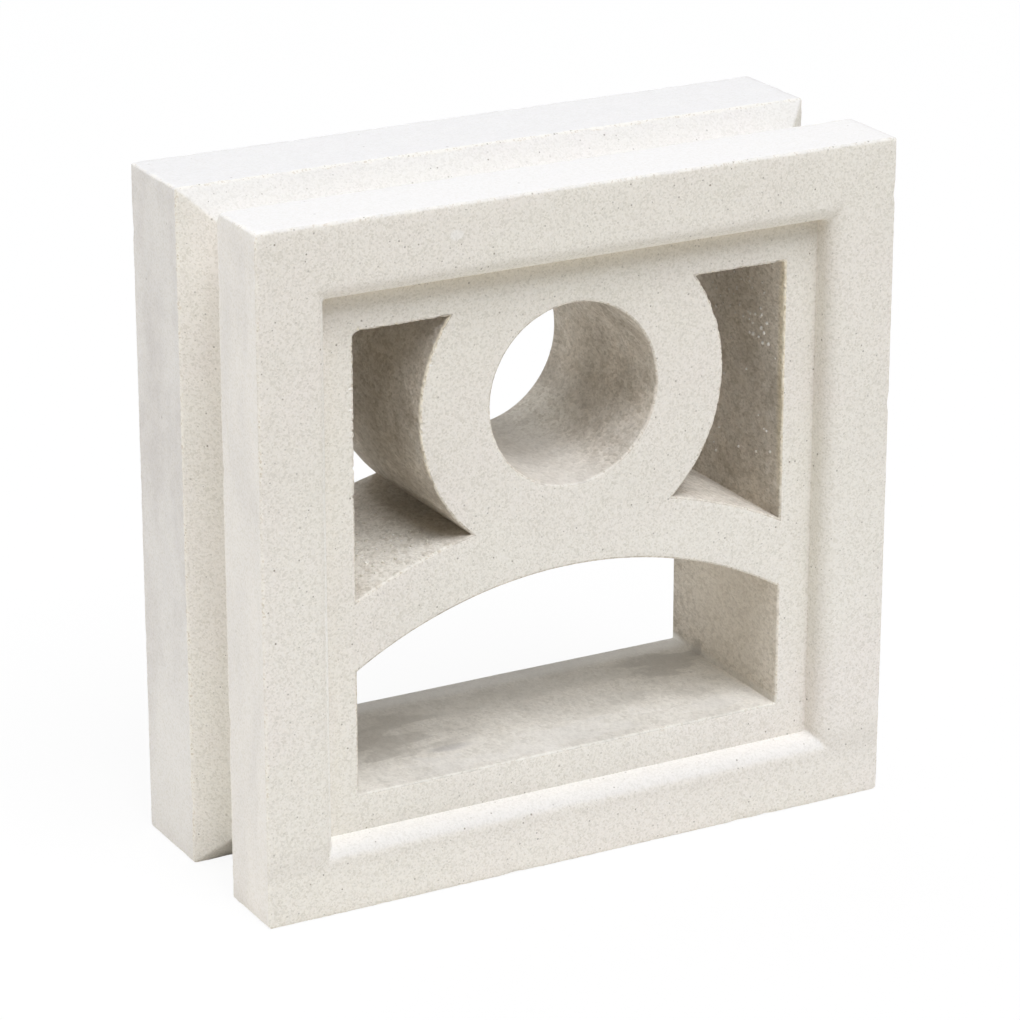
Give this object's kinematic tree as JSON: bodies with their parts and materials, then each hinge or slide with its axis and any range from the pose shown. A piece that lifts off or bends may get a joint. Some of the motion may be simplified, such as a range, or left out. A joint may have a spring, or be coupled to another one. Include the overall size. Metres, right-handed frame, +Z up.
{
  "type": "decorative ventilation block",
  "caption": "Cast concrete screen block with a ring standing on a low arch inside a raised square frame, and a mortar groove round its sides.",
  "frame": {"origin": "middle of the bottom, on the surface that the block stands on", "axes": "+Z up, the face towards -Y, +X to the right as seen from the front"},
  "size_m": [0.2, 0.08, 0.2],
  "materials": {
    "concrete": "matte"
  },
  "bodies": {
    "root": {"vent_block": "concrete"}
  },
  "joints": []
}
